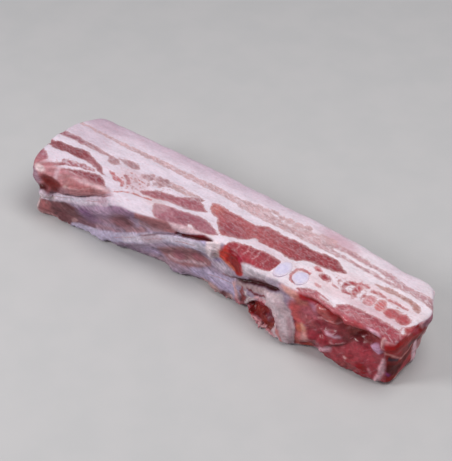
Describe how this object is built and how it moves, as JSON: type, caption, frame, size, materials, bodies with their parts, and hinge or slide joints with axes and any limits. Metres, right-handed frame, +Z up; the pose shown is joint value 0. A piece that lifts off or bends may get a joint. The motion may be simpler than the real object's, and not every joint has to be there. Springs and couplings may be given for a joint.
{
  "type": "pork belly slab",
  "caption": "Raw bone-in pork belly strip lying on one cut face, with fat and lean layers on the cut faces, a rind side and a ribbed bone side.",
  "frame": {"origin": "middle of the strip's footprint box, at the height of the face that it rests on", "axes": "+X along the strip, -Y towards the bone side with its rib ridges, +Y towards the rind, +Z up out of the upper cut face"},
  "size_m": [0.3594, 0.0904, 0.0506],
  "materials": {
    "meat": "raw pork belly: pinkish white fat with dark pink lean layers, moist and softly shiny",
    "cartilage": "wet bluish white cartilage, smooth and shiny"
  },
  "bodies": {
    "root": {"belly_slab": "meat", "rib_cartilage_1": "cartilage", "rib_cartilage_2": "cartilage"}
  },
  "joints": []
}
